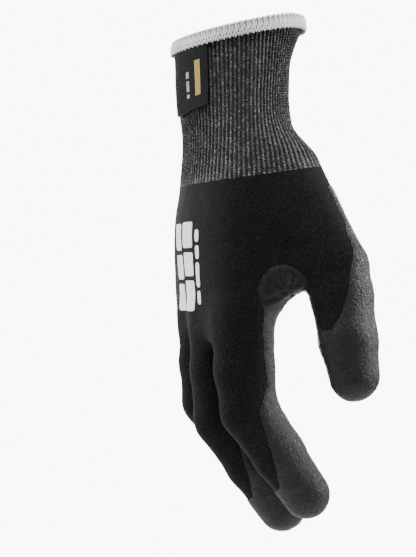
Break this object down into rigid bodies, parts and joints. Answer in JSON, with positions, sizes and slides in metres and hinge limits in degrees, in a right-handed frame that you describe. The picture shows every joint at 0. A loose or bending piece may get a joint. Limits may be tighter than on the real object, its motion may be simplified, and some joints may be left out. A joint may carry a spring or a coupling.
{
  "type": "cut resistant glove",
  "caption": "Right-hand knitted work glove with a long ribbed cuff, overlocked edge, wrist label and a dipped coat on the palm, thumb web and fingertips.",
  "frame": {"origin": "middle of the cuff's mouth", "axes": "+Z out of the cuff's mouth, away from the fingers; +X to the thumb side; +Y to the palm side; -Y to the back of the hand"},
  "size_m": [0.1158, 0.0759, 0.2323],
  "materials": {
    "edge_cream": "cream overlock thread",
    "cuff_grey": "grey and black rib knit",
    "knit_black": "fine black knit",
    "coat_black": "crinkled satin black dip",
    "label_black": "black satin woven label",
    "label_yellow": "yellow woven accent",
    "print_white": "white transfer print"
  },
  "bodies": {
    "cuff": {"cuff_rib": "cuff_grey", "cuff_wrist_sleeve": "cuff_grey", "overlock_edge": "edge_cream", "wrist_label": "label_black", "label_accent": "label_yellow"},
    "hand": {"cuff_lower_rib": "cuff_grey", "hand_shell": "knit_black", "palm_coat": "coat_black", "print_bar_1": "print_white", "print_bar_2": "print_white", "print_bar_3": "print_white", "print_bar_4": "print_white", "print_bar_5": "print_white", "print_bar_6": "print_white"},
    "index_proximal": {"index_proximal_knit": "knit_black", "index_proximal_stretch": "knit_black", "index_proximal_coat": "coat_black"},
    "index_middle": {"index_middle_knit": "knit_black", "index_middle_stretch": "knit_black", "index_middle_coat": "coat_black"},
    "index_tip": {"index_tip_knit": "knit_black", "index_tip_stretch": "knit_black", "index_tip_coat": "coat_black"},
    "middle_proximal": {"middle_proximal_knit": "knit_black", "middle_proximal_stretch": "knit_black", "middle_proximal_coat": "coat_black"},
    "middle_middle": {"middle_middle_knit": "knit_black", "middle_middle_stretch": "knit_black", "middle_middle_coat": "coat_black"},
    "middle_tip": {"middle_tip_knit": "knit_black", "middle_tip_stretch": "knit_black", "middle_tip_coat": "coat_black"},
    "ring_proximal": {"ring_proximal_knit": "knit_black", "ring_proximal_stretch": "knit_black", "ring_proximal_coat": "coat_black"},
    "ring_middle": {"ring_middle_knit": "knit_black", "ring_middle_stretch": "knit_black", "ring_middle_coat": "coat_black"},
    "ring_tip": {"ring_tip_knit": "knit_black", "ring_tip_stretch": "knit_black", "ring_tip_coat": "coat_black"},
    "little_proximal": {"little_proximal_knit": "knit_black", "little_proximal_stretch": "knit_black", "little_proximal_coat": "coat_black"},
    "little_middle": {"little_middle_knit": "knit_black", "little_middle_stretch": "knit_black", "little_middle_coat": "coat_black"},
    "little_tip": {"little_tip_knit": "knit_black", "little_tip_stretch": "knit_black", "little_tip_coat": "coat_black"},
    "thumb_base": {"thumb_base_knit": "knit_black", "thumb_base_stretch": "knit_black", "thumb_base_coat": "coat_black"},
    "thumb_tip": {"thumb_tip_knit": "knit_black", "thumb_tip_stretch": "knit_black", "thumb_tip_coat": "coat_black"}
  },
  "joints": [
    {"name": "wrist_flex", "type": "hinge", "parent": "cuff", "child": "hand", "pos_m": [0, 0, -0.05], "axis": [1, 0, 0], "range_deg": [-25, 25], "stiffness_Nm_per_rad": 0.25, "deforming": ["cuff_wrist_sleeve"]},
    {"name": "index_base_flex", "type": "hinge", "parent": "hand", "child": "index_proximal", "pos_m": [0.03375, -0.007, -0.151], "axis": [1, 0, 0], "range_deg": [-15, 35], "stiffness_Nm_per_rad": 0.06, "deforming": ["index_proximal_stretch"]},
    {"name": "index_middle_flex", "type": "hinge", "parent": "index_proximal", "child": "index_middle", "pos_m": [0.03375, -0.0046, -0.169], "axis": [1, 0, 0], "range_deg": [-25, 45], "stiffness_Nm_per_rad": 0.03, "deforming": ["index_middle_stretch"]},
    {"name": "index_end_flex", "type": "hinge", "parent": "index_middle", "child": "index_tip", "pos_m": [0.03375, 0.009, -0.189], "axis": [1, 0, 0], "range_deg": [-15, 27], "stiffness_Nm_per_rad": 0.015, "deforming": ["index_tip_stretch"]},
    {"name": "middle_base_flex", "type": "hinge", "parent": "hand", "child": "middle_proximal", "pos_m": [0.01125, -0.012, -0.152], "axis": [1, 0, 0], "range_deg": [-15, 35], "stiffness_Nm_per_rad": 0.06, "deforming": ["middle_proximal_stretch"]},
    {"name": "middle_middle_flex", "type": "hinge", "parent": "middle_proximal", "child": "middle_middle", "pos_m": [0.01125, -0.0106, -0.174], "axis": [1, 0, 0], "range_deg": [-25, 45], "stiffness_Nm_per_rad": 0.03, "deforming": ["middle_middle_stretch"]},
    {"name": "middle_end_flex", "type": "hinge", "parent": "middle_middle", "child": "middle_tip", "pos_m": [0.01125, 0.0032, -0.195], "axis": [1, 0, 0], "range_deg": [-15, 27], "stiffness_Nm_per_rad": 0.015, "deforming": ["middle_tip_stretch"]},
    {"name": "ring_base_flex", "type": "hinge", "parent": "hand", "child": "ring_proximal", "pos_m": [-0.01125, -0.012, -0.15], "axis": [1, 0, 0], "range_deg": [-15, 35], "stiffness_Nm_per_rad": 0.06, "deforming": ["ring_proximal_stretch"]},
    {"name": "ring_middle_flex", "type": "hinge", "parent": "ring_proximal", "child": "ring_middle", "pos_m": [-0.01125, -0.011, -0.1675], "axis": [1, 0, 0], "range_deg": [-25, 45], "stiffness_Nm_per_rad": 0.03, "deforming": ["ring_middle_stretch"]},
    {"name": "ring_end_flex", "type": "hinge", "parent": "ring_middle", "child": "ring_tip", "pos_m": [-0.01125, 0.0028, -0.187], "axis": [1, 0, 0], "range_deg": [-15, 27], "stiffness_Nm_per_rad": 0.015, "deforming": ["ring_tip_stretch"]},
    {"name": "little_base_flex", "type": "hinge", "parent": "hand", "child": "little_proximal", "pos_m": [-0.0325, -0.006, -0.142], "axis": [1, 0, 0], "range_deg": [-15, 35], "stiffness_Nm_per_rad": 0.06, "deforming": ["little_proximal_stretch"]},
    {"name": "little_middle_flex", "type": "hinge", "parent": "little_proximal", "child": "little_middle", "pos_m": [-0.0325, -0.0052, -0.1585], "axis": [1, 0, 0], "range_deg": [-25, 45], "stiffness_Nm_per_rad": 0.03, "deforming": ["little_middle_stretch"]},
    {"name": "little_end_flex", "type": "hinge", "parent": "little_middle", "child": "little_tip", "pos_m": [-0.0325, 0.0032, -0.1745], "axis": [1, 0, 0], "range_deg": [-15, 27], "stiffness_Nm_per_rad": 0.015, "deforming": ["little_tip_stretch"]},
    {"name": "thumb_swing", "type": "hinge", "parent": "hand", "child": "thumb_base", "pos_m": [0.0548, 0.0307, -0.119], "axis": [1, 0, 0], "range_deg": [-12, 22], "stiffness_Nm_per_rad": 0.06, "deforming": ["thumb_base_stretch"]},
    {"name": "thumb_tip_flex", "type": "hinge", "parent": "thumb_base", "child": "thumb_tip", "pos_m": [0.06, 0.0318, -0.138], "axis": [0, 1, 0], "range_deg": [-20, 25], "stiffness_Nm_per_rad": 0.02, "deforming": ["thumb_tip_stretch"]}
  ],
  "couplings": [
    {"joint": "index_end_flex", "follows": "index_middle_flex", "ratio": 0.6},
    {"joint": "middle_end_flex", "follows": "middle_middle_flex", "ratio": 0.6},
    {"joint": "ring_end_flex", "follows": "ring_middle_flex", "ratio": 0.6},
    {"joint": "little_end_flex", "follows": "little_middle_flex", "ratio": 0.6}
  ]
}
